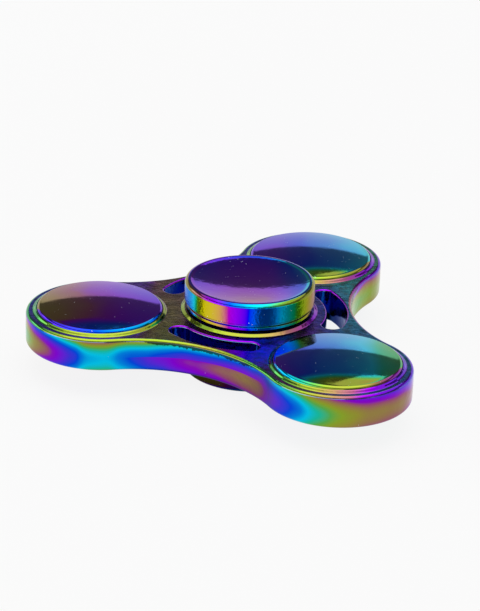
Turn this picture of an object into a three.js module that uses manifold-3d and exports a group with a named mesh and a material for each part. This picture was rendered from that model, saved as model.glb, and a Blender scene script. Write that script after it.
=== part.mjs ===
// Three-lobed fidget spinner, built from the separate pieces of the real object.
// Millimetres, +Z up. The origin is on the spin axis, halfway through the plate.

import * as THREE from 'three';
import { mergeVertices } from 'three/addons/utils/BufferGeometryUtils.js';
import Module from 'manifold-3d';

const wasm = await Module();
wasm.setup();

// ---- Driving dimensions ----

// Plate
const LOBE_COUNT = 3;
const FIRST_LOBE_ANGLE = 90;
const LOBE_CENTRE = 28.7; // spin axis to lobe axis
const LOBE_RADIUS = 14.2;
const WAIST_RADIUS = 20.0; // spin axis to the plate's edge, halfway between lobes
const PLATE_HALF = 3.2;
const EDGE_ROUND = 0.5;

// Curved slots between the hub and the waists
const SLOT_INNER = 15.0;
const SLOT_OUTER = 18.8;
const SLOT_HALF_ANGLE = 25.4; // to the centre of each round end

// Raised collar round the bearing, and raised ring round each lobe cover
const COLLAR_RADIUS = 12.7;
const COLLAR_HALF = 3.7;
const RING_RADIUS = 12.45;
const RING_HALF = 3.55;
const SEAT_RADIUS = 12.17;
const SEAT_HALF = 3.05;
const LOBE_BORE = 11.0;
const HUB_BORE = 11.05;
const RAISED_CHAMFER = 0.2;
const RAISED_FOOT = 0.4; // how far the sloping foot spreads
const RAISED_FOOT_HEIGHT = 0.15;
const RAISED_ROOT = 0.1; // depth of the foot's edge below the plate's face
const RAISED_INNER = 10.0; // inside both bores, which are cut afterwards

// Lobe covers and the weights under them
const COVER_RADIUS = 12.05;
const COVER_RIM = 4.15; // height of the rim's top edge
const COVER_CROWN = 57; // radius of the domed face
const COVER_SHOULDER = 0.3; // width and height of the rounding at the rim
const COVER_UNDER = 3.35;
const SPIGOT_RADIUS = 10.6;
const SPIGOT_END = 2.7;
const WEIGHT_RADIUS = 10.7;
const WEIGHT_HALF = 2.4;

// Bearing, 8 x 22 x 7
const RACE_HALF = 3.5;
const RACE_OUTER = 10.95;
const RACE_BORE = 4.0;
const OUTER_SHOULDER = 9.0;
const INNER_SHOULDER = 6.05;
const PITCH_RADIUS = 7.5;
const GROOVE_RADIUS = 2.08;
const RACE_CHAMFER = 0.3;
const SHIELD_SEAT_RADIUS = 10.05;
const SHIELD_SEAT = 2.6;
const BALL_COUNT = 7;
const BALL_RADIUS = 1.9;
const CAGE_INNER = 6.75;
const CAGE_OUTER = 8.25;
const CAGE_HALF = 2.45;
const POCKET_RADIUS = 2.2;
const SHIELD_INNER = 6.35;
const SHIELD_OUTER = 9.85;
const SHIELD_BOTTOM = 2.72;
const SHIELD_TOP = 2.97;
const CLIP_INNER = 9.2;
const CLIP_OUTER = 9.9;
const CLIP_BOTTOM = 3.1;
const CLIP_TOP = 3.35;
const CLIP_GAP = 20; // degrees left open in the ring
const CLIP_TOP_TURN = 40;
const CLIP_BOTTOM_TURN = 200;

// Finger caps
const CAP_RADIUS = 12.5;
const CAP_TOP_HEIGHT = 9.5;
const CAP_BOTTOM_HEIGHT = 8.7;
const CAP_WALL_START = 5.6;
const CAP_RIM_ROUND = 0.8;
const DISH_RADIUS = 11.2;
const DISH_CURVE = 57;
const DISH_DROP = 0.2; // dish edge below the rim
const DISH_EDGE = 0.15; // width of the bevel between rim and dish
const LIP_RADIUS = 12.1;
const LIP_BOTTOM = 4.05;
const LIP_TOP = 4.8;
const LIP_CHAMFER = 0.15;
const LIP_SLOPE = 0.2; // height of the slope from the lip to the neck
const SKIRT_INNER = 11.0; // the recess under the cap, round the boss
const SKIRT_RISE = 0.35;
const NECK_RADIUS = 11.85;
const WALL_CHAMFER = 0.2;
const BOSS_RADIUS = 5.4;
const BOSS_END = 3.6;
const POST_RADIUS = 3.85;
const POST_END = 0.3;
const STUD_RADIUS = 1.8;
const STUD_TIP = -2.6;
const STUD_CHAMFER = 0.3;
const SOCKET_RADIUS = 2.1;
const SOCKET_DEPTH = 3.0;

// Facets round a full turn
const PLATE_FACETS = 36;
const RACE_FACETS = 28;
const CAP_FACETS = 30;
const COVER_FACETS = 24;

// Straight steps along each arc
const LOBE_STEPS = 12;
const HOLLOW_STEPS = 6;
const SLOT_STEPS = 5;
const SLOT_END_STEPS = 4;
const CLIP_STEPS = 32;
const GROOVE_STEPS = 4;

// ---- Helpers ----

const radians = THREE.MathUtils.degToRad;

function polar(radius, degrees, from = new THREE.Vector2()) {
  const angle = radians(degrees);
  return new THREE.Vector2(from.x + radius * Math.cos(angle), from.y + radius * Math.sin(angle));
}

function arc(centre, radius, start, end, steps) {
  const points = [];
  for (let i = 0; i <= steps; i++) {
    points.push(polar(radius, start + ((end - start) * i) / steps, centre));
  }
  return points;
}

// Height of a sphere's surface above its centre, at a distance from its axis.
function capHeight(sphereRadius, distance) {
  return Math.sqrt(sphereRadius ** 2 - distance ** 2);
}

function toSolid(geometry) {
  const bare = geometry.clone();
  bare.deleteAttribute('normal');
  bare.deleteAttribute('uv');
  const merged = mergeVertices(bare, 1e-4);
  const index = merged.index.array;
  const position = merged.attributes.position.array;
  const triangles = [];
  let volume = 0;
  const [a, b, c] = [new THREE.Vector3(), new THREE.Vector3(), new THREE.Vector3()];
  for (let i = 0; i < index.length; i += 3) {
    const [p, q, r] = index.slice(i, i + 3);
    if (p === q || q === r || r === p) continue;
    triangles.push(p, q, r);
    a.fromArray(position, 3 * p);
    b.fromArray(position, 3 * q);
    c.fromArray(position, 3 * r);
    volume += a.dot(b.cross(c));
  }
  if (volume < 0) triangles.reverse();
  return new wasm.Manifold(new wasm.Mesh({
    numProp: 3,
    vertProperties: new Float32Array(position),
    triVerts: new Uint32Array(triangles),
  }));
}

function toGeometry(solid) {
  const mesh = solid.getMesh();
  const geometry = new THREE.BufferGeometry();
  geometry.setAttribute('position', new THREE.BufferAttribute(mesh.vertProperties, 3));
  geometry.setIndex(new THREE.BufferAttribute(mesh.triVerts, 1));
  geometry.computeVertexNormals();
  return geometry;
}

// Turns [radius, height] pairs about Z.
function revolve(profile, facets) {
  const points = profile.map(([radius, height]) => new THREE.Vector2(radius, height));
  return toSolid(new THREE.LatheGeometry(points, facets).rotateX(Math.PI / 2));
}

function revolveRing(profile, facets) {
  return revolve([...profile, profile[0]], facets);
}

function cylinder(radius, bottom, top, facets) {
  return revolve([[0, bottom], [radius, bottom], [radius, top], [0, top]], facets);
}

function extrude(shape, bottom, top) {
  const geometry = new THREE.ExtrudeGeometry(shape, { depth: top - bottom, bevelEnabled: false });
  return toSolid(geometry.translate(0, 0, bottom));
}

// ---- Materials ----

function metal(color, roughness) {
  return new THREE.MeshStandardMaterial({ color, roughness, metalness: 1 });
}

const finishes = {
  plate: () => metal(0x3a2f8f, 0.12),
  cap: () => metal(0x5a3ab0, 0.12),
  cover: () => metal(0x1d3f7c, 0.1),
  steel: () => metal(0xb9bcc2, 0.2),
  cage: () => metal(0x9a9384, 0.35),
  weight: () => metal(0x77797d, 0.45),
};

const spinner = new THREE.Group();

function addPiece(name, solid, finish, place = {}) {
  const mesh = new THREE.Mesh(toGeometry(solid), finishes[finish]());
  mesh.name = name;
  if (place.at) mesh.position.set(place.at.x, place.at.y, 0);
  if (place.flipped) mesh.rotation.x = Math.PI;
  if (place.turned) mesh.rotation.z = radians(place.turned);
  spinner.add(mesh);
}

const lobes = Array.from({ length: LOBE_COUNT }, (_, i) => {
  const angle = FIRST_LOBE_ANGLE + (360 / LOBE_COUNT) * i;
  return { angle, axis: polar(LOBE_CENTRE, angle) };
});

// ---- Plate ----

// Each lobe is a round end, joined to the next by a hollow arc tangent to both.
function plateOutline() {
  const half = 180 / LOBE_COUNT;
  const across = LOBE_CENTRE * Math.sin(radians(half));
  const along = WAIST_RADIUS - LOBE_CENTRE * Math.cos(radians(half));
  const hollow = (along ** 2 + across ** 2 - LOBE_RADIUS ** 2) / (2 * (LOBE_RADIUS - along));
  const hollowSweep = THREE.MathUtils.radToDeg(Math.atan2(across, hollow + along));
  const lobeSweep = half + hollowSweep;
  const points = [];
  for (const { angle, axis } of lobes) {
    points.push(polar(LOBE_RADIUS, angle - lobeSweep, axis));
    points.push(...arc(axis, LOBE_RADIUS, angle - 90, angle + 90, LOBE_STEPS));
    const waist = angle + half;
    const centre = polar(WAIST_RADIUS + hollow, waist);
    const towards = waist + 180;
    const stretch = arc(centre, hollow, towards + hollowSweep, towards - hollowSweep, HOLLOW_STEPS);
    points.push(...stretch.slice(0, -1));
  }
  return points;
}

function slotOutline(angle) {
  const middle = (SLOT_INNER + SLOT_OUTER) / 2;
  const endRadius = (SLOT_OUTER - SLOT_INNER) / 2;
  const start = angle - SLOT_HALF_ANGLE;
  const end = angle + SLOT_HALF_ANGLE;
  const origin = new THREE.Vector2();
  return [
    ...arc(origin, SLOT_OUTER, start, end, SLOT_STEPS),
    ...arc(polar(middle, end), endRadius, end, end + 180, SLOT_END_STEPS).slice(1, -1),
    ...arc(origin, SLOT_INNER, end, start, SLOT_STEPS),
    ...arc(polar(middle, start), endRadius, start + 180, start + 360, SLOT_END_STEPS).slice(1, -1),
  ];
}

// A raised ring on both faces, with a chamfered top and a sloping foot.
function raisedRing(radius, halfHeight) {
  const upper = [
    [radius + RAISED_FOOT, PLATE_HALF - RAISED_ROOT],
    [radius, PLATE_HALF + RAISED_FOOT_HEIGHT],
    [radius, halfHeight - RAISED_CHAMFER],
    [radius - RAISED_CHAMFER, halfHeight],
    [RAISED_INNER, halfHeight],
  ];
  const lower = upper.map(([r, z]) => [r, -z]).reverse();
  return revolveRing([...lower, ...upper], PLATE_FACETS);
}

function buildPlate() {
  const shape = new THREE.Shape(plateOutline());
  for (const { angle } of lobes) {
    shape.holes.push(new THREE.Path(slotOutline(angle + 180 / LOBE_COUNT)));
  }
  const slab = new THREE.ExtrudeGeometry(shape, {
    depth: 2 * (PLATE_HALF - EDGE_ROUND),
    bevelThickness: EDGE_ROUND,
    bevelSize: EDGE_ROUND,
    bevelOffset: -EDGE_ROUND,
    bevelSegments: 2,
  });
  const beyond = 2 * COLLAR_HALF;
  let plate = toSolid(slab.translate(0, 0, EDGE_ROUND - PLATE_HALF))
    .add(raisedRing(COLLAR_RADIUS, COLLAR_HALF))
    .subtract(cylinder(HUB_BORE, -beyond, beyond, PLATE_FACETS));
  for (const { axis } of lobes) {
    const put = (solid) => solid.translate([axis.x, axis.y, 0]);
    plate = plate
      .add(put(raisedRing(RING_RADIUS, RING_HALF)))
      .subtract(put(cylinder(LOBE_BORE, -beyond, beyond, PLATE_FACETS)))
      .subtract(put(cylinder(SEAT_RADIUS, SEAT_HALF, beyond, PLATE_FACETS)))
      .subtract(put(cylinder(SEAT_RADIUS, -beyond, -SEAT_HALF, PLATE_FACETS)));
  }
  return plate;
}

addPiece('body_frame', buildPlate(), 'plate');

// ---- Lobe covers and weights ----

function buildCover() {
  const rimRadius = COVER_RADIUS - COVER_SHOULDER;
  const rise = (r) => capHeight(COVER_CROWN, r) - capHeight(COVER_CROWN, rimRadius);
  const crown = [1, 0.7, 0.4].map((part) => [rimRadius * part, COVER_RIM + rise(rimRadius * part)]);
  return revolve([
    [0, SPIGOT_END],
    [SPIGOT_RADIUS, SPIGOT_END],
    [SPIGOT_RADIUS, COVER_UNDER],
    [COVER_RADIUS, COVER_UNDER],
    [COVER_RADIUS, COVER_RIM - COVER_SHOULDER],
    [COVER_RADIUS - COVER_SHOULDER / 3, COVER_RIM - COVER_SHOULDER / 3],
    ...crown,
    [0, COVER_RIM + rise(0)],
  ], COVER_FACETS);
}

const cover = buildCover();
const weight = cylinder(WEIGHT_RADIUS, -WEIGHT_HALF, WEIGHT_HALF, COVER_FACETS);
lobes.forEach(({ axis }, i) => {
  const lobe = `lobe_${i + 1}`;
  addPiece(`${lobe}_weight`, weight, 'weight', { at: axis });
  addPiece(`${lobe}_cover_top`, cover, 'cover', { at: axis });
  addPiece(`${lobe}_cover_bottom`, cover, 'cover', { at: axis, flipped: true });
});

// ---- Bearing ----

// The part of the ball groove that cuts a race, from one shoulder edge to the other.
function groove(shoulder, side) {
  const reach = Math.acos(Math.abs(shoulder - PITCH_RADIUS) / GROOVE_RADIUS);
  return Array.from({ length: GROOVE_STEPS + 1 }, (_, i) => {
    const angle = reach - (2 * reach * i) / GROOVE_STEPS;
    return [PITCH_RADIUS + side * GROOVE_RADIUS * Math.cos(angle), GROOVE_RADIUS * Math.sin(angle)];
  });
}

function buildOuterRace() {
  const upper = [
    [RACE_OUTER, RACE_HALF - RACE_CHAMFER],
    [RACE_OUTER - RACE_CHAMFER, RACE_HALF],
    [SHIELD_SEAT_RADIUS, RACE_HALF],
    [SHIELD_SEAT_RADIUS, SHIELD_SEAT],
    [OUTER_SHOULDER, SHIELD_SEAT],
  ];
  const lower = upper.map(([r, z]) => [r, -z]).reverse();
  return revolveRing([...upper, ...groove(OUTER_SHOULDER, 1), ...lower], RACE_FACETS);
}

function buildInnerRace() {
  const upper = [
    [RACE_BORE, RACE_HALF - RACE_CHAMFER],
    [RACE_BORE + RACE_CHAMFER, RACE_HALF],
    [INNER_SHOULDER, RACE_HALF],
  ];
  const lower = upper.map(([r, z]) => [r, -z]).reverse();
  return revolveRing([...upper, ...groove(INNER_SHOULDER, -1), ...lower], RACE_FACETS);
}

function buildCage() {
  let cage = revolveRing([
    [CAGE_INNER, -CAGE_HALF],
    [CAGE_OUTER, -CAGE_HALF],
    [CAGE_OUTER, CAGE_HALF],
    [CAGE_INNER, CAGE_HALF],
  ], 4 * BALL_COUNT);
  for (let i = 0; i < BALL_COUNT; i++) {
    const { x, y } = polar(PITCH_RADIUS, (360 / BALL_COUNT) * i);
    const pocket = new THREE.IcosahedronGeometry(POCKET_RADIUS, 1).translate(x, y, 0);
    cage = cage.subtract(toSolid(pocket));
  }
  return cage;
}

function buildShield() {
  return revolveRing([
    [SHIELD_INNER, SHIELD_BOTTOM],
    [SHIELD_OUTER, SHIELD_BOTTOM],
    [SHIELD_OUTER, SHIELD_TOP],
    [SHIELD_INNER, SHIELD_TOP],
  ], RACE_FACETS);
}

function buildClip() {
  const origin = new THREE.Vector2();
  const [start, end] = [CLIP_GAP / 2, 360 - CLIP_GAP / 2];
  const outline = [
    ...arc(origin, CLIP_OUTER, start, end, CLIP_STEPS),
    ...arc(origin, CLIP_INNER, end, start, CLIP_STEPS),
  ];
  return extrude(new THREE.Shape(outline), CLIP_BOTTOM, CLIP_TOP);
}

addPiece('bearing_outer_race', buildOuterRace(), 'steel');
addPiece('bearing_inner_race', buildInnerRace(), 'steel');
addPiece('bearing_cage', buildCage(), 'cage');
for (let i = 0; i < BALL_COUNT; i++) {
  const ball = toSolid(new THREE.IcosahedronGeometry(BALL_RADIUS, 2));
  const at = polar(PITCH_RADIUS, (360 / BALL_COUNT) * i);
  addPiece(`bearing_ball_${i + 1}`, ball, 'steel', { at });
}
const shield = buildShield();
const clip = buildClip();
addPiece('bearing_shield_top', shield, 'steel');
addPiece('bearing_shield_bottom', shield, 'steel', { flipped: true });
addPiece('shield_clip_top', clip, 'steel', { turned: CLIP_TOP_TURN });
addPiece('shield_clip_bottom', clip, 'steel', { flipped: true, turned: CLIP_BOTTOM_TURN });

// ---- Finger caps ----

// Both caps share this outside, from the post's shoulder to the middle of the dish.
function capOutside(height) {
  const rimCentre = CAP_RADIUS - CAP_RIM_ROUND;
  const wallEnd = height - CAP_RIM_ROUND;
  const rim = [0, 30, 60, 90].map((angle) => [
    rimCentre + CAP_RIM_ROUND * Math.cos(radians(angle)),
    wallEnd + CAP_RIM_ROUND * Math.sin(radians(angle)),
  ]);
  const depth = (r) => capHeight(DISH_CURVE, r) - capHeight(DISH_CURVE, DISH_RADIUS);
  const dish = [1, 0.7, 0.4, 0].map((part) => {
    const r = DISH_RADIUS * part;
    return [r, height - DISH_DROP - depth(r)];
  });
  return [
    [POST_RADIUS, POST_END],
    [POST_RADIUS, BOSS_END],
    [BOSS_RADIUS, BOSS_END],
    [BOSS_RADIUS, LIP_BOTTOM + SKIRT_RISE],
    [SKIRT_INNER, LIP_BOTTOM + SKIRT_RISE],
    [SKIRT_INNER + WALL_CHAMFER, LIP_BOTTOM],
    [LIP_RADIUS - LIP_CHAMFER, LIP_BOTTOM],
    [LIP_RADIUS, LIP_BOTTOM + LIP_CHAMFER],
    [LIP_RADIUS, LIP_TOP - LIP_SLOPE],
    [NECK_RADIUS, LIP_TOP],
    [NECK_RADIUS, CAP_WALL_START - WALL_CHAMFER],
    [CAP_RADIUS - WALL_CHAMFER, CAP_WALL_START - WALL_CHAMFER],
    [CAP_RADIUS, CAP_WALL_START],
    ...rim,
    [DISH_RADIUS + DISH_EDGE, height],
    ...dish,
  ];
}

// The upper cap's stud screws into the lower cap's socket, through the inner race.
function buildTopCap() {
  const stud = [
    [0, STUD_TIP],
    [STUD_RADIUS - STUD_CHAMFER, STUD_TIP],
    [STUD_RADIUS, STUD_TIP + STUD_CHAMFER],
    [STUD_RADIUS, POST_END],
  ];
  return revolve([...stud, ...capOutside(CAP_TOP_HEIGHT)], CAP_FACETS);
}

function buildBottomCap() {
  const socket = [[0, SOCKET_DEPTH], [SOCKET_RADIUS, SOCKET_DEPTH], [SOCKET_RADIUS, POST_END]];
  return revolve([...socket, ...capOutside(CAP_BOTTOM_HEIGHT)], CAP_FACETS);
}

addPiece('finger_cap_top', buildTopCap(), 'cap');
addPiece('finger_cap_bottom', buildBottomCap(), 'cap', { flipped: true });

export default spinner;
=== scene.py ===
"""Looks of the three-lobed fidget spinner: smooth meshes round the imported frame, a rainbow
coating on the plate, caps and covers, and a pale studio with a broad overhead light."""

import math

import bpy
import numpy as np
from mathutils import Matrix, Vector, geometry


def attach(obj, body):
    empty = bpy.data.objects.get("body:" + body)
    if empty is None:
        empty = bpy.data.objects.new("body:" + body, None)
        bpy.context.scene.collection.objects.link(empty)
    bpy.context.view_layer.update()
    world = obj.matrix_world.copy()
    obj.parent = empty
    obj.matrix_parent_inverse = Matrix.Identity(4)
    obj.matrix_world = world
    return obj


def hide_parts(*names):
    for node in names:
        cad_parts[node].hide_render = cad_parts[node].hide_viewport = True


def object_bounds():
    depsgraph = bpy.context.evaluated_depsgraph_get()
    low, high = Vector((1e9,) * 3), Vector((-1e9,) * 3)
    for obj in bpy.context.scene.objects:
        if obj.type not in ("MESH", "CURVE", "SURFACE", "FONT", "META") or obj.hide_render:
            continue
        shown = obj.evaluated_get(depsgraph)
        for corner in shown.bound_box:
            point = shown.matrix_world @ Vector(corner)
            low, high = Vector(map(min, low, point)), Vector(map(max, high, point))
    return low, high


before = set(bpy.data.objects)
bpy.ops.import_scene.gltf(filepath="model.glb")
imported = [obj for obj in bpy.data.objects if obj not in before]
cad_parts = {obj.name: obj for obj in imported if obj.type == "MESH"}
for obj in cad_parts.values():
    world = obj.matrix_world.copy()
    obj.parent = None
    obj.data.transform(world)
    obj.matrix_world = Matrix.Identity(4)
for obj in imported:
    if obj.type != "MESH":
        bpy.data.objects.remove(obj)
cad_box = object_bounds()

MM = 0.001
TINY = 1e-6

# ---- Dimensions, in mm, as in the CAD model ----

LOBE_CENTRE = 28.7
LOBE_RADIUS = 14.2
LOBE_ANGLES = (90, 210, 330)
SLOT_ANGLES = (150, 270, 30)
WAIST_RADIUS = 20.0
PLATE_HALF = 3.2
RAISED_HALF = 3.7
SLOT_INNER = 15.0
SLOT_OUTER = 18.8
SLOT_HALF_ANGLE = 25.4
COVER_RADIUS = 12.05
CAP_RADIUS = 12.5
TOP_CAP_HEIGHT = 9.5
BOTTOM_CAP_HEIGHT = 8.7
# Radius of the sphere that the covers' domes and the caps' dishes are cut from.
CROWN_RADIUS = 57.0

# Longest step between the points of an outline.
LOBE_STEP = 0.33
WAIST_STEP = 0.4
SLOT_SIDE_STEP = 0.3
SLOT_END_STEP = 0.15
# Steps round what is turned.
COLLAR_SEGMENTS = 288
LOBE_RING_SEGMENTS = 216
COVER_SEGMENTS = 240
CAP_SEGMENTS = 288

# Directions: up, across the front of the spinner, and straight out of its front. The coating's
# thickness changes along the two level ones.
UP = (0, 0, 1)
ACROSS = (0.908, 0.419, 0.0)
FRONT = (0.419, -0.908, 0.0)

# ---- Profiles and meshes ----


def unit(x, y):
    length = math.hypot(x, y)
    return x / length, y / length


def rounded(corners, per_turn=48):
    """A profile of (r, z, nr, nz) through corners (r, z, radius). Its outside is on the right
    of the way it runs. A corner with radius 0 is a point of a curve and gets a mean normal.
    per_turn is how many steps a full turn would have."""
    points = []
    last = len(corners) - 1
    for i, (r, z, radius) in enumerate(corners):
        before = unit(r - corners[i - 1][0], z - corners[i - 1][1]) if i else None
        after = unit(corners[i + 1][0] - r, corners[i + 1][1] - z) if i < last else before
        before = before or after
        turn = math.atan2(before[0] * after[1] - before[1] * after[0],
                          before[0] * after[0] + before[1] * after[1])
        if not radius:
            nr, nz = unit(before[1] + after[1], -before[0] - after[0])
            points.append((r, z, nr, nz))
            continue
        reach = radius * math.tan(abs(turn) / 2)
        start = math.atan2(-before[0], before[1])
        side = math.copysign(radius, turn)
        centre = (r - before[0] * reach - before[1] * side,
                  z - before[1] * reach + before[0] * side)
        steps = max(3, round(abs(turn) / (2 * math.pi) * per_turn))
        for k in range(steps + 1):
            angle = start + turn * k / steps
            nr, nz = math.cos(angle), math.sin(angle)
            points.append((centre[0] + nr * side, centre[1] + nz * side, nr, nz))
    return points


def crown(reach, level, hollow=False, steps=40):
    """Corners of a shallow dome or dish, from next to its edge at (reach, level) to its
    middle."""
    rise = math.sqrt(CROWN_RADIUS**2 - reach**2)
    sign = -1 if hollow else 1
    radii = [reach * (1 - k / steps) for k in range(1, steps + 1)]
    return [(r, level + sign * (math.sqrt(CROWN_RADIUS**2 - r**2) - rise), 0) for r in radii]


def add_object(name, data):
    added = bpy.data.objects.new(name, data)
    bpy.context.scene.collection.objects.link(added)
    return added


class Skin:
    """A mesh put together from rings of points, with exact normals."""

    def __init__(self):
        self.points, self.normals, self.faces = [], [], []

    def ring(self, points, normals):
        first = len(self.points)
        self.points.extend(points)
        self.normals.extend(normals)
        return list(range(first, len(self.points)))

    def strip(self, low, high):
        for a in range(len(low)):
            b = (a + 1) % len(low)
            self.faces.append((low[a], low[b], high[b], high[a]))

    def fan(self, loop, point, normal, up):
        (tip,) = self.ring([point], [normal])
        for a in range(len(loop)):
            b = (a + 1) % len(loop)
            self.faces.append((loop[a], loop[b], tip) if up else (loop[b], loop[a], tip))

    def sweep(self, path, outward, profile):
        """Runs an edge profile round a closed path, and returns its first and last rings."""
        rings = []
        for x, z, nx, nz in profile:
            points = [(px + ox * x, py + oy * x, z) for (px, py), (ox, oy) in zip(path, outward)]
            normals = [(ox * nx, oy * nx, nz) for ox, oy in outward]
            rings.append(self.ring(points, normals))
        for low, high in zip(rings, rings[1:]):
            self.strip(low, high)
        return rings[0], rings[-1]

    def lathe(self, profile, segments, centre=(0, 0)):
        """Turns a profile round an upright axis. A profile may start or end on the axis."""
        turns = [2 * math.pi * k / segments for k in range(segments)]
        outward = [(math.cos(t), math.sin(t)) for t in turns]
        body = [p for p in profile if p[0] > TINY]
        first, last = self.sweep([centre] * segments, outward, body)
        if profile[0][0] <= TINY:
            self.fan(first, (*centre, profile[0][1]), (0, 0, -1), up=False)
        if profile[-1][0] <= TINY:
            self.fan(last, (*centre, profile[-1][1]), UP, up=True)
        return first, last

    def level_face(self, outer, holes, up):
        """Fills a level outline, apart from its holes. A triangle is kept if a line from its
        middle crosses the edges an odd number of times."""
        flat, edges = [], []
        for loop in [outer] + holes:
            first = len(flat)
            flat.extend(loop)
            edges += [(first + k, first + (k + 1) % len(loop)) for k in range(len(loop))]
        corners = [Vector(self.points[i][:2]) for i in flat]
        triangles = geometry.delaunay_2d_cdt(corners, edges, [], 0, TINY)[2]
        ax, ay, bx, by = np.array([(*corners[a], *corners[b]) for a, b in edges]).T
        for triangle in triangles:
            x, y = sum((corners[i] for i in triangle), Vector((0, 0))) / 3
            met = (ay > y) != (by > y)
            crossing = ax[met] + (bx - ax)[met] * (y - ay[met]) / (by - ay)[met]
            if (crossing > x).sum() % 2:
                a, b, c = (flat[i] for i in triangle)
                self.faces.append((a, b, c) if up else (a, c, b))

    def to_object(self, name, material, at=(0, 0), flipped=False):
        """Makes the piece, turned upside down about the X axis if it is flipped."""
        points = np.array(self.points) * MM
        normals = np.array(self.normals)
        if flipped:
            points[:, 1:] *= -1
            normals[:, 1:] *= -1
        points[:, :2] += np.array(at) * MM
        mesh = bpy.data.meshes.new(name)
        mesh.from_pydata(points.tolist(), [], self.faces)
        mesh.polygons.foreach_set("use_smooth", np.ones(len(self.faces), bool))
        mesh.normals_split_custom_set_from_vertices(normals.tolist())
        mesh.materials.append(material)
        return add_object(name, mesh)


def polar(radius, degrees, centre=(0, 0)):
    angle = math.radians(degrees)
    return centre[0] + radius * math.cos(angle), centre[1] + radius * math.sin(angle)


def arc(centre, radius, start, end, spacing, bulge=1):
    """Points and outward normals along an arc, without its last point. bulge is -1 on a hollow
    arc, whose outward side faces its centre."""
    count = max(2, math.ceil(abs(math.radians(end - start)) * radius / spacing))
    angles = [start + (end - start) * k / count for k in range(count)]
    normals = [polar(bulge, a) for a in angles]
    return [polar(radius, a, centre) for a in angles], normals


def join(*arcs):
    path, normals = [], []
    for points, outward in arcs:
        path.extend(points)
        normals.extend(outward)
    return path, normals


# ---- Node materials ----


class Shading:
    """Short names for shader nodes. A number or a node's output may go into any input."""

    def __init__(self, tree):
        self.tree = tree

    def node(self, kind, inputs=(), out=0, **settings):
        """Makes a node, fills its inputs and returns one of its outputs."""
        made = self.tree.nodes.new(kind)
        for key, value in settings.items():
            setattr(made, key, value)
        for key, value in dict(inputs).items():
            self.put(made.inputs[key], value)
        return made.outputs[out]

    def put(self, socket, value):
        if isinstance(value, bpy.types.NodeSocket):
            self.tree.links.new(value, socket)
        else:
            socket.default_value = value

    def math(self, operation, *values):
        return self.node("ShaderNodeMath", enumerate(values), operation=operation)

    def fold(self, operation, values):
        result, *others = values
        for value in others:
            result = self.math(operation, result, value)
        return result

    def add(self, *values):
        return self.fold("ADD", values)

    def times(self, *values):
        return self.fold("MULTIPLY", values)

    def largest(self, *values):
        return self.fold("MAXIMUM", values)

    def dot(self, vector, direction):
        return self.node("ShaderNodeVectorMath", {0: vector, 1: direction}, "Value",
                         operation="DOT_PRODUCT")

    def length(self, vector):
        return self.node("ShaderNodeVectorMath", {0: vector}, "Value", operation="LENGTH")

    def stretch(self, vector, factors):
        return self.node("ShaderNodeVectorMath", {0: vector, 1: factors}, operation="MULTIPLY")

    def level_part(self, vector):
        return self.stretch(vector, (1, 1, 0))

    def normalized(self, vector):
        return self.node("ShaderNodeVectorMath", {0: vector}, operation="NORMALIZE")

    def smooth(self, value, low, high, start=0.0, end=1.0):
        """Goes smoothly from start to end as value goes from low to high."""
        return self.node("ShaderNodeMapRange", {"Value": value, "From Min": low, "From Max": high,
                                                "To Min": start, "To Max": end},
                         interpolation_type="SMOOTHSTEP")

    def noise(self, place, scale, detail=2.0, rough=0.5):
        return self.node("ShaderNodeTexNoise", {"Vector": place, "Scale": scale, "Detail": detail,
                                                "Roughness": rough})

    def mix(self, factor, a, b):
        """A number that goes from a to b."""
        return self.node("ShaderNodeMix", {0: factor, 2: a, 3: b})

    def blend(self, factor, a, b):
        """A colour that goes from a to b."""
        return self.node("ShaderNodeMix", {0: factor, 6: a, 7: b}, 2, data_type="RGBA")

    def grey(self, value):
        return self.node("ShaderNodeCombineColor", {channel: value for channel in range(3)})

    def curve(self, value, points):
        """A smooth curve through points (value, result), from the first to the last."""
        low, high = points[0][0], points[-1][0]
        floor = min(result for _, result in points)
        span = max(result for _, result in points) - floor
        share = self.node("ShaderNodeMapRange", {"Value": value, "From Min": low,
                                                 "From Max": high})
        output = self.node("ShaderNodeFloatCurve", {"Value": share})
        line = output.node.mapping.curves[0]
        spots = [((place - low) / (high - low), (result - floor) / span)
                 for place, result in points]
        line.points[0].location = spots[0]
        line.points[1].location = spots[-1]
        for spot in spots[1:-1]:
            line.points.new(*spot)
        output.node.mapping.update()
        return self.add(self.times(output, span), floor)

    def ramp(self, value, stops):
        output = self.node("ShaderNodeValToRGB", {"Fac": value})
        elements = output.node.color_ramp.elements
        while len(elements) < len(stops):
            elements.new(0.5)
        for element, (position, colour) in zip(elements, stops):
            element.position = position
            element.color = linear(colour)
        return output


def linear(colour):
    """A screen colour (0 to 255) as the linear colour that shaders use."""
    scaled = [c / 255 for c in colour]
    return (*[c / 12.92 if c <= 0.04045 else ((c + 0.055) / 1.055) ** 2.4 for c in scaled], 1.0)


# One full round of the coating's interference colours, from magenta back to magenta.
RAINBOW = [
    (0.00, (134, 16, 178)),
    (0.05, (126, 4, 202)),
    (0.12, (104, 28, 210)),
    (0.20, (62, 48, 210)),
    (0.29, (4, 66, 214)),
    (0.39, (2, 128, 218)),
    (0.48, (4, 190, 228)),
    (0.58, (26, 182, 150)),
    (0.66, (84, 166, 74)),
    (0.74, (132, 158, 42)),
    (0.81, (144, 138, 52)),
    (0.88, (146, 114, 76)),
    (0.95, (146, 72, 112)),
    (1.00, (134, 16, 178)),
]
DUST = (0.8, 0.84, 0.9, 1.0)
# Near black: the colour that painted shade and painted dark reflections blend towards.
PAINTED_SHADE_TONE = (0.006, 0.006, 0.01, 1.0)

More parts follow.
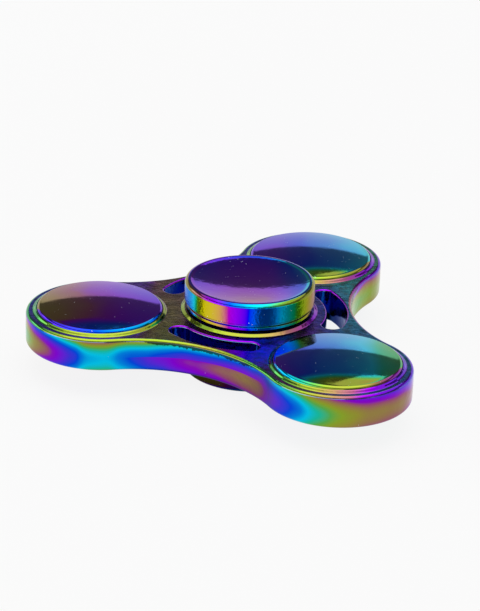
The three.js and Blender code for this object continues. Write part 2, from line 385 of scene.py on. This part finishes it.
# The coating's phase, in rounds of colour, at places (mm) along the across direction: on the
# plate's walls, edges and level faces, on the covers, and on the caps' edges and walls.
WALL_PHASES = [(-46, 0.6), (-43, 0.62), (-40.5, 0.82), (-37, 1.0), (-32.5, 1.24), (-28, 1.47),
               (-24, 1.35), (-18, 1.15), (-12, 1.0), (-5, 0.94), (1, 0.88), (4, 1.08), (9, 1.36),
               (13, 1.59), (17.5, 1.74), (22, 1.82), (27, 1.87), (31, 1.96), (46, 2.2)]
EDGE_PHASES = [(-46, 0.6), (-40, 0.66), (-34, 0.74), (-20, 0.76), (-5, 0.76), (3, 0.66),
               (9, 0.74), (14, 0.84), (20, 0.96), (28, 1.12), (46, 1.2)]
TOP_PHASES = [(-46, 0.3), (-30, 0.14), (-21, 0.04), (-15, -0.14), (-10, 0.05), (0, 0.1),
              (10, 0.12), (15, 0.3), (21, 0.46), (46, 0.5)]
COVER_PHASES = [(-46, -0.2), (-34, -0.07), (-28, 0.01), (-20, 0.12), (-8, 0.13), (4, 0.14),
                (9, 0.25), (13, 0.34), (18, 0.41), (22, 0.48), (26, 0.62), (46, 0.8)]
CAP_EDGE_PHASES = [(-13, 0.78), (-9, 0.96), (-6, 1.1), (-3.5, 1.3), (0, 1.45), (4, 1.6),
                   (8, 1.74), (13, 1.82)]
CAP_WALL_PHASES = [(-13, 0.3), (-11, 0.42), (-9, 0.8), (-7, 0.84), (-5.5, 0.88), (-3.5, 1.0),
                   (-1, 1.15), (1, 1.3), (4, 1.34), (7, 1.5), (9.5, 1.7), (13, 1.96)]
# The same all round the slots: blue on their walls, violet on their edges.
SLOT_WALL_PHASE = 0.32
SLOT_EDGE_PHASE = 1.02


class Coating(Shading):
    """A metal material. Lengths in its nodes are in millimetres."""

    def __init__(self, name):
        self.material = bpy.data.materials.new(name)
        self.material.use_nodes = True
        super().__init__(self.material.node_tree)
        self.shader = self.tree.nodes["Principled BSDF"]
        self.shader.inputs["Metallic"].default_value = 1.0
        coordinates = self.tree.nodes.new("ShaderNodeTexCoord")
        normal = coordinates.outputs["Normal"]
        self.place = self.stretch(coordinates.outputs["Object"], (1 / MM,) * 3)
        self.across = self.dot(self.place, ACROSS)
        self.front = self.dot(self.place, FRONT)
        self.height = self.dot(self.place, UP)
        self.facing_front = self.dot(normal, FRONT)
        self.facing_up = self.dot(normal, UP)
        self.level = self.math("ABSOLUTE", self.facing_up)

    def bump(self, height, size):
        """height is a factor near 0 to 1, size its full depth in millimetres."""
        return self.node("ShaderNodeBump", {"Strength": 1.0, "Distance": size * MM,
                                            "Height": height})

    def specks(self, spacing, radius):
        """A mask of small round specks, sparse and uneven in size."""
        cells = self.node("ShaderNodeTexVoronoi", {"Vector": self.place, "Scale": 1 / spacing},
                          "Distance")
        size = self.smooth(self.noise(self.place, 0.35 / spacing), 0.45, 0.75, 0.0, radius)
        return self.math("LESS_THAN", self.times(cells, spacing), size)

    def finish(self, colour, roughness, normal):
        self.put(self.shader.inputs["Base Color"], colour)
        self.put(self.shader.inputs["Roughness"], roughness)
        self.put(self.shader.inputs["Normal"], normal)
        return self.material

    def rainbow(self, phase, normal, wobble, haze, dust, rough=0.0, dark=0.0, vivid=1.0):
        """Finishes a rainbow coating whose colour is taken at phase, shifted in clouds by up to
        half of wobble. haze is its least and most roughness, with rough added. dust is the
        spacing and largest radius of its specks, dark how far painted shade and painted dark
        reflections darken it, vivid its saturation."""
        clouds = self.add(self.noise(self.place, 0.16, 1.0), -0.5)
        place = self.math("FRACT", self.add(phase, self.times(clouds, wobble)))
        colour = self.node("ShaderNodeHueSaturation", {"Color": self.ramp(place, RAINBOW),
                                                       "Saturation": vivid})
        specks = self.specks(*dust)
        colour = self.blend(self.times(specks, 0.7), colour, DUST)
        # Painted shade: dark blends the colour towards near black.
        colour = self.blend(dark, colour, PAINTED_SHADE_TONE)
        film = self.smooth(self.noise(self.place, 0.45, 4.0, 0.6), 0.3, 0.75, *haze)
        return self.finish(colour, self.add(film, rough, self.times(specks, 0.35)), normal)


class PlateCoating(Coating):
    """The plate's coating. Its masks are 1 on the outside walls, on what isn't raised above
    the plate's faces, in the slots and on flat faces."""

    def __init__(self):
        super().__init__("rainbow_plate")
        depth = self.math("ABSOLUTE", self.height)
        self.radius = self.length(self.level_part(self.place))
        self.outside = self.smooth(self.radius, SLOT_OUTER + 0.4, SLOT_OUTER + 0.8)
        self.unraised = self.smooth(depth, PLATE_HALF + 0.01, PLATE_HALF + 0.05, 1.0, 0.0)
        self.slot = self.times(self.unraised,
                               self.smooth(self.radius, SLOT_INNER - 0.7, SLOT_INNER - 0.5),
                               self.math("SUBTRACT", 1.0, self.outside))
        self.flat = self.smooth(self.level, 0.97, 0.995)

    def wall_phase(self):
        """Colours run along the walls, turn up at both edges, and break at the parting ridge."""
        above_middle = self.add(self.height, 0.6)
        turned_up = self.times(above_middle, above_middle,
                               self.smooth(self.across, -15, 20, 0.045, 0.026),
                               self.smooth(self.height, -1.8, -0.6, 0.65, 1.0))
        ridge = self.add(self.height, self.times(self.across, -0.05), -0.6)
        broken = self.times(self.smooth(self.radius, 24, 29, 0.14, 0.0),
                            self.smooth(ridge, -0.06, 0.06))
        wall = self.add(self.curve(self.across, WALL_PHASES), turned_up,
                        self.smooth(self.front, -12, 2, -0.1, 0.0), broken)
        return self.mix(self.outside, SLOT_WALL_PHASE, wall)

    def edge_phase(self):
        """Colours run along the edges, a little further on round the collar's right side."""
        collar = self.times(self.smooth(self.radius, 13.9, 14.2, 1.0, 0.0),
                            self.smooth(self.across, -8, 8, -0.02, 0.2))
        edge = self.add(self.curve(self.across, EDGE_PHASES), collar)
        return self.mix(self.slot, edge, SLOT_EDGE_PHASE)

    def phase(self):
        top = self.add(self.curve(self.across, TOP_PHASES), self.times(self.front, -0.004))
        sides = self.mix(self.smooth(self.facing_up, 0.25, 0.45), self.wall_phase(),
                         self.edge_phase())
        return self.mix(self.flat, sides, top)

    def painted_shade_mask(self):
        """Painted shade in the slots, and painted dark reflections in patches on level faces and,
        raggedly where the casting is rough, along the upper edges of the waists."""
        ragged = self.add(self.height,
                          self.times(self.noise(self.place, 1.1, 4.0, 0.7), 1.6),
                          self.smooth(self.radius, 23, 28, 0.0, -1.2))
        # Painted dark reflection under the waists' upper edges, ragged where the casting is
        # rough.
        band = self.times(self.smooth(ragged, 3.02, 3.12), 0.85,
                          self.smooth(self.facing_up, 0.35, 0.5, 1.0, 0.0),
                          self.outside, self.unraised)
        # Painted shade on the slots' walls.
        slots = self.times(self.slot, self.smooth(self.level, 0.1, 0.3, 0.35, 0.0))
        # Painted dark reflection, in patches, on the level faces.
        patches = self.times(self.flat, self.smooth(self.noise(self.place, 0.7, 4.0, 0.65),
                                                    0.35, 0.65, 0.25, 0.7))
        return self.largest(band, slots, patches)

    def grain(self):
        return self.bump(self.add(self.times(self.noise(self.place, 0.33, 2.0), 0.75),
                                  self.times(self.noise(self.place, 1.3, 3.0), 0.35)), 0.08)


def plate_coating():
    coat = PlateCoating()
    return coat.rainbow(coat.phase(), coat.grain(), wobble=0.12, haze=(0.05, 0.13),
                        dust=(1.3, 0.09), rough=coat.times(coat.flat, 0.14), dark=coat.painted_shade_mask())


def cover_coating():
    """The colour moves on in two steps where the dome leans to the front, the first mostly on
    the right and the second on the left."""
    coat = Coating("rainbow_cover")
    phase = coat.add(coat.curve(coat.across, COVER_PHASES),
                     coat.smooth(coat.facing_front, -0.1, 0.02, 0.02, -0.02),
                     coat.times(coat.smooth(coat.facing_front, 0.12, 0.17),
                                coat.smooth(coat.across, 7, 18, 0.05, 0.36)),
                     coat.times(coat.smooth(coat.facing_front, 0.13, 0.18),
                                coat.smooth(coat.across, 8, 20, 0.26, 0.0)))
    height = coat.add(coat.noise(coat.place, 0.5, 2.0),
                      coat.times(coat.noise(coat.place, 1.4, 4.0), 0.4))
    return coat.rainbow(phase, coat.bump(height, 0.005), wobble=0.08, haze=(0.03, 0.1),
                        dust=(0.6, 0.09))


def cap_coating(name, lean, shade):
    """lean is how far the turning marks on the wall lean its gloss upwards, and shade is how
    far painted shade darkens the wall's colour."""
    coat = Coating(name)
    across_dish = coat.times(coat.across, 1 / 12)
    dish = coat.add(1.04, coat.times(across_dish, across_dish, 0.16),
                    coat.smooth(coat.across, 3, 11, 0.0, 0.16),
                    coat.times(coat.facing_front, 0.5))
    phase = coat.mix(coat.smooth(coat.level, 0.1, 0.35),
                     coat.curve(coat.across, CAP_WALL_PHASES),
                     coat.curve(coat.across, CAP_EDGE_PHASES))
    phase = coat.mix(coat.smooth(coat.level, 0.94, 0.99), phase, dish)
    height = coat.add(coat.noise(coat.place, 0.5, 2.0),
                      coat.times(coat.noise(coat.place, 1.3, 4.0, 0.6),
                                 coat.smooth(coat.level, 0.0, 1.0, 2.4, 0.4)))
    lift = coat.node("ShaderNodeCombineXYZ", {2: coat.smooth(coat.level, 0.0, 0.2, lean, 0.0)})
    leaning = coat.node("ShaderNodeVectorMath", {0: coat.bump(height, 0.025), 1: lift},
                        operation="ADD")
    # On the lower cap, painted shade darkens the wall by shade.
    return coat.rainbow(phase, coat.normalized(leaning), wobble=0.04, haze=(0.03, 0.09),
                        dust=(0.6, 0.09), dark=coat.smooth(coat.level, 0.1, 0.4, shade, 0.0),
                        vivid=coat.smooth(coat.level, 0.1, 0.4, 1.15, 1.0))


def steel(name, colour, roughness, grain):
    """Bare steel with fine turning marks round the Z axis."""
    coat = Coating(name)
    marks = coat.noise(coat.stretch(coat.place, (1, 1, 6)), grain, 3.0)
    tone = coat.smooth(marks, 0.3, 0.7, 0.85, 1.0)
    shades = {channel: coat.times(tone, value) for channel, value in enumerate(colour)}
    rough = coat.smooth(coat.noise(coat.place, 0.6, 3.0), 0.3, 0.7, roughness, roughness * 1.6)
    return coat.finish(coat.node("ShaderNodeCombineColor", shades), rough,
                       coat.bump(marks, 0.004))


PLATE = plate_coating()
COVER = cover_coating()
TOP_CAP = cap_coating("rainbow_cap", lean=0.36, shade=0.0)
# The lower cap's wall is darkened with painted shade.
BOTTOM_CAP = cap_coating("rainbow_lower_cap_painted_shade", lean=0.0, shade=0.5)
BEARING = steel("bearing_steel", (0.72, 0.73, 0.75), roughness=0.12, grain=2.0)
SHEET = steel("shield_steel", (0.66, 0.67, 0.69), roughness=0.25, grain=3.0)
CAGE = steel("cage_steel", (0.58, 0.55, 0.50), roughness=0.3, grain=3.0)
WEIGHT = steel("weight_steel", (0.46, 0.46, 0.47), roughness=0.35, grain=2.5)

# ---- Plate ----


def plate_outline():
    """Round lobe ends joined by hollow arcs tangent to both."""
    across = LOBE_CENTRE * math.sin(math.radians(60))
    along = WAIST_RADIUS - LOBE_CENTRE * math.cos(math.radians(60))
    hollow = (along**2 + across**2 - LOBE_RADIUS**2) / (2 * (LOBE_RADIUS - along))
    sweep = math.degrees(math.atan2(across, hollow + along))
    pieces = []
    for lobe in LOBE_ANGLES:
        pieces.append(arc(polar(LOBE_CENTRE, lobe), LOBE_RADIUS,
                          lobe - 60 - sweep, lobe + 60 + sweep, LOBE_STEP))
        inward = lobe + 240
        pieces.append(arc(polar(WAIST_RADIUS + hollow, lobe + 60), hollow,
                          inward + sweep, inward - sweep, WAIST_STEP, -1))
    return join(*pieces)


def slot_outline(angle):
    """Runs clockwise, so that its outward side is inside the slot."""
    middle = (SLOT_INNER + SLOT_OUTER) / 2
    end_radius = (SLOT_OUTER - SLOT_INNER) / 2
    low, high = angle - SLOT_HALF_ANGLE, angle + SLOT_HALF_ANGLE
    return join(
        arc((0, 0), SLOT_OUTER, high, low, SLOT_SIDE_STEP, -1),
        arc(polar(middle, low), end_radius, low + 360, low + 180, SLOT_END_STEP, -1),
        arc((0, 0), SLOT_INNER, low, high, SLOT_SIDE_STEP),
        arc(polar(middle, high), end_radius, high + 180, high, SLOT_END_STEP, -1),
    )


def wall_profile(inset, edge, draft):
    """A wall from the lower to the upper face, with round edges and a faint parting ridge."""
    ridge_radius = 6.0
    return rounded([(-inset, -PLATE_HALF, 0), (-draft, -PLATE_HALF, edge),
                    (0, 0, ridge_radius),
                    (-draft, PLATE_HALF, edge), (-inset, PLATE_HALF, 0)])


def mirrored(upper):
    return upper + [(r, -z, radius) for r, z, radius in reversed(upper)]


# Upper halves of the profiles of the hub's collar and the lobes' rings, from the plate's face
# inwards: corners (r, z, radius). A lobe's ring has the cover's recess inside it. It is 0.15 mm
# higher, and the recess 0.06 mm tighter, than in the CAD model.
COLLAR = [(13.6, PLATE_HALF, 0), (13.1, PLATE_HALF, 0.4), (12.5, RAISED_HALF, 0.35),
          (11.05, RAISED_HALF, 0.15)]
RECESS_RADIUS = COVER_RADIUS + 0.06
RECESS_HALF = 3.05
LOBE_RING = [(13.15, PLATE_HALF, 0), (12.75, PLATE_HALF, 0.5), (12.4, 3.58, 0.25),
             (12.17, RAISED_HALF, 0.05), (RECESS_RADIUS, RAISED_HALF, 0.02),
             (RECESS_RADIUS, RECESS_HALF, 0.05), (11.0, RECESS_HALF, 0.1)]


def build_plate():
    skin = Skin()
    low, high = skin.sweep(*plate_outline(), wall_profile(inset=0.76, edge=0.7, draft=0.05))
    lows, highs = [], []
    for angle in SLOT_ANGLES:
        first, last = skin.sweep(*slot_outline(angle),
                                 wall_profile(inset=0.43, edge=0.4, draft=0.03))
        lows.append(first)
        highs.append(last)
    rings = [((0, 0), COLLAR, COLLAR_SEGMENTS)]
    rings += [(polar(LOBE_CENTRE, angle), LOBE_RING, LOBE_RING_SEGMENTS)
              for angle in LOBE_ANGLES]
    for centre, upper, segments in rings:
        first, last = skin.lathe(rounded(mirrored(upper)), segments, centre)
        highs.append(first)
        lows.append(last)
    skin.level_face(high, highs, up=True)
    skin.level_face(low, lows, up=False)
    return skin


plate = build_plate().to_object("plate", PLATE)
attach(plate, "rotor")
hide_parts("body_frame")

# ---- Covers ----


def build_cover():
    """A spigot below, a round edge and a dome on top."""
    spigot, bottom, base, edge = 10.6, 2.7, 3.35, 4.09
    dome, dome_level = 11.6, 4.15
    skin = Skin()
    skin.lathe(rounded([(0, bottom, 0), (spigot, bottom, 0.2), (spigot, base, 0.1),
                        (COVER_RADIUS, base, 0.1), (COVER_RADIUS, edge, 0.7)]
                       + crown(dome, dome_level)), COVER_SEGMENTS)
    return skin


cover = build_cover()
for number, angle in enumerate(LOBE_ANGLES, 1):
    for side in ("top", "bottom"):
        name = f"lobe_{number}_cover_{side}"
        piece = cover.to_object(f"dome_{number}_{side}", COVER, polar(LOBE_CENTRE, angle),
                                side == "bottom")
        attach(piece, "rotor")
        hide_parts(name)

# ---- Finger caps ----

# Height of the sleeves' ends, which nearly meet at the middle of the plate.
SLEEVE_END = 0.3


def build_cap(middle, height):
    """A cap turned from a profile: its stud or socket in the middle, then the sleeve, the
    shoulder, the underside, the lip, the groove above it, the wall, the rim and the dish."""
    sleeve, shoulder, lip, groove = 3.85, 5.4, 12.1, 11.85
    shoulder_level, underside, lip_level, wall_level = 3.6, 4.4, 4.05, 5.38
    dish, dish_step = 11.2, 0.08
    skin = Skin()
    skin.lathe(rounded(middle + [
        (sleeve, SLEEVE_END, 0.15), (sleeve, shoulder_level, 0.1),
        (shoulder, shoulder_level, 0.15), (shoulder, underside, 0.2),
        (11.0, underside, 0.2), (11.2, lip_level, 0.08), (lip, lip_level, 0.15),
        (lip, 4.68, 0.12), (groove, 4.85, 0.1), (groove, wall_level, 0.08),
        (CAP_RADIUS, wall_level, 0.14), (CAP_RADIUS, height, 0.85), (11.42, height, 0.35),
    ] + crown(dish, height - dish_step, hollow=True)), CAP_SEGMENTS)
    return skin


stud = [(0, -2.6, 0), (1.8, -2.6, 0.3), (1.8, SLEEVE_END, 0.1)]
socket = [(0, 3.0, 0), (2.1, 3.0, 0.1), (2.1, SLEEVE_END, 0.15)]
for side, middle, height, material in (("top", stud, TOP_CAP_HEIGHT, TOP_CAP),
                                       ("bottom", socket, BOTTOM_CAP_HEIGHT, BOTTOM_CAP)):
    piece = build_cap(middle, height).to_object(f"cap_{side}", material,
                                                flipped=side == "bottom")
    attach(piece, "hub")
    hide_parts(f"finger_cap_{side}")

# ---- Frame nodes that stay ----

KEPT = {"bearing_outer_race": BEARING, "bearing_inner_race": BEARING, "bearing_cage": CAGE,
        "bearing_shield_top": SHEET, "bearing_shield_bottom": SHEET,
        "shield_clip_top": SHEET, "shield_clip_bottom": SHEET}
KEPT.update({f"bearing_ball_{k}": BEARING for k in range(1, 8)})
KEPT.update({f"lobe_{k}_weight": WEIGHT for k in range(1, 4)})
for name, material in KEPT.items():
    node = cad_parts[name]
    node.data.materials.clear()
    node.data.materials.append(material)

# ---- Floor, light and camera ----


def floor_material():
    """Nearly white. Below the spinner it is dimmer in reflections, as its shade would be."""
    bright, dim = 0.87, 0.1
    material = bpy.data.materials.new("pale_floor")
    material.use_nodes = True
    shading = Shading(material.node_tree)
    place = shading.node("ShaderNodeTexCoord", out="Object")
    seen = shading.node("ShaderNodeLightPath", out="Is Camera Ray")
    tone = shading.smooth(shading.noise(place, 3.0), 0.3, 0.7, 0.06, 0.065)
    reflected = shading.smooth(shading.length(place), 0.014, 0.036, dim, bright)
    shader = material.node_tree.nodes["Principled BSDF"]
    for key, value in {
        "Base Color": shading.grey(tone),
        "Roughness": 0.9,
        "Specular IOR Level": 0.1,
        "Emission Color": (1, 1, 1, 1),
        "Emission Strength": shading.largest(shading.times(seen, bright), reflected),
    }.items():
        shading.put(shader.inputs[key], value)
    return material


def build_floor():
    half, gap = 3.0, 0.00002
    level = cad_box[0][2] - gap
    mesh = bpy.data.meshes.new("floor")
    mesh.from_pydata([(-half, -half, level), (half, -half, level), (half, half, level),
                      (-half, half, level)], [], [(0, 1, 2, 3)])
    mesh.materials.append(floor_material())
    add_object("floor", mesh)


# Brightness of the strip of light from left to right.
STRIP = [(-1, 1.8), (-0.85, 2.0), (-0.6, 1.5), (-0.3, 1.1), (0.12, 1.1), (0.28, 0.05),
         (0.68, 0.05), (0.8, 0.4), (0.9, 0.1), (1, 0.1)]


def build_light():
    """A broad overhead light, a glow low round the back and sides, and a strip of light on the
    front. The height of a light is the sine of its angle above the horizon."""
    world = bpy.data.worlds.new("studio")
    bpy.context.scene.world = world
    world.use_nodes = True
    light = Shading(world.node_tree)
    way = light.node("ShaderNodeTexCoord", out="Generated")
    height = light.dot(way, UP)
    level_way = light.normalized(light.level_part(way))
    ahead = light.dot(level_way, FRONT)
    sideways = light.dot(level_way, ACROSS)

    edge = light.add(light.smooth(sideways, -0.02, 0.3, 0.738, 0.59),
                     light.smooth(sideways, -0.3, -0.1, -0.04, 0.0))
    overhead = light.times(light.math("GREATER_THAN", height, edge),
                           light.smooth(height, 0.8, 0.92, 1.0, 2.4))
    glow = light.times(light.smooth(height, 0.335, 0.365, 1.0, 0.0),
                       light.smooth(ahead, -0.22, -0.14, 0.68, 0.05))
    strip_below = light.times(light.smooth(height, 0.3, 0.34, 1.0, 0.0),
                              light.smooth(ahead, 0.02, 0.06))
    strip_above = light.times(light.smooth(height, 0.3, 0.34),
                              light.smooth(height, 0.5, 0.54, 1.0, 0.0),
                              light.smooth(ahead, -0.75, -0.6))
    strip = light.times(light.add(strip_below, strip_above), light.curve(sideways, STRIP))
    ambient = 0.14

    studio = light.grey(light.add(overhead, glow, strip, ambient))
    seen = light.node("ShaderNodeLightPath", out="Is Camera Ray")
    background = world.node_tree.nodes["Background"]
    light.put(background.inputs["Color"], light.blend(seen, studio, (0.95, 0.95, 0.95, 1.0)))


def build_camera():
    """A camera placed to match the photo's view, with a slight roll."""
    back = Vector((0.3828, -0.8300, 0.4056)).normalized()
    right = Vector((-back.y, back.x, 0)).normalized()
    up = back.cross(right)
    roll = math.radians(1.973)
    across = right * math.cos(roll) + up * math.sin(roll)
    upward = up * math.cos(roll) - right * math.sin(roll)
    place = Vector((203.3, -445.1, 221.05)) * MM
    data = bpy.data.cameras.new("camera")
    data.sensor_width = 36.0
    data.lens = 164.07
    camera = add_object("camera", data)
    axes = Matrix((across, upward, back)).transposed()
    camera.matrix_world = Matrix.Translation(place) @ axes.to_4x4()
    bpy.context.scene.camera = camera


build_floor()
build_light()
build_camera()
bpy.context.scene.view_settings.view_transform = "Standard"
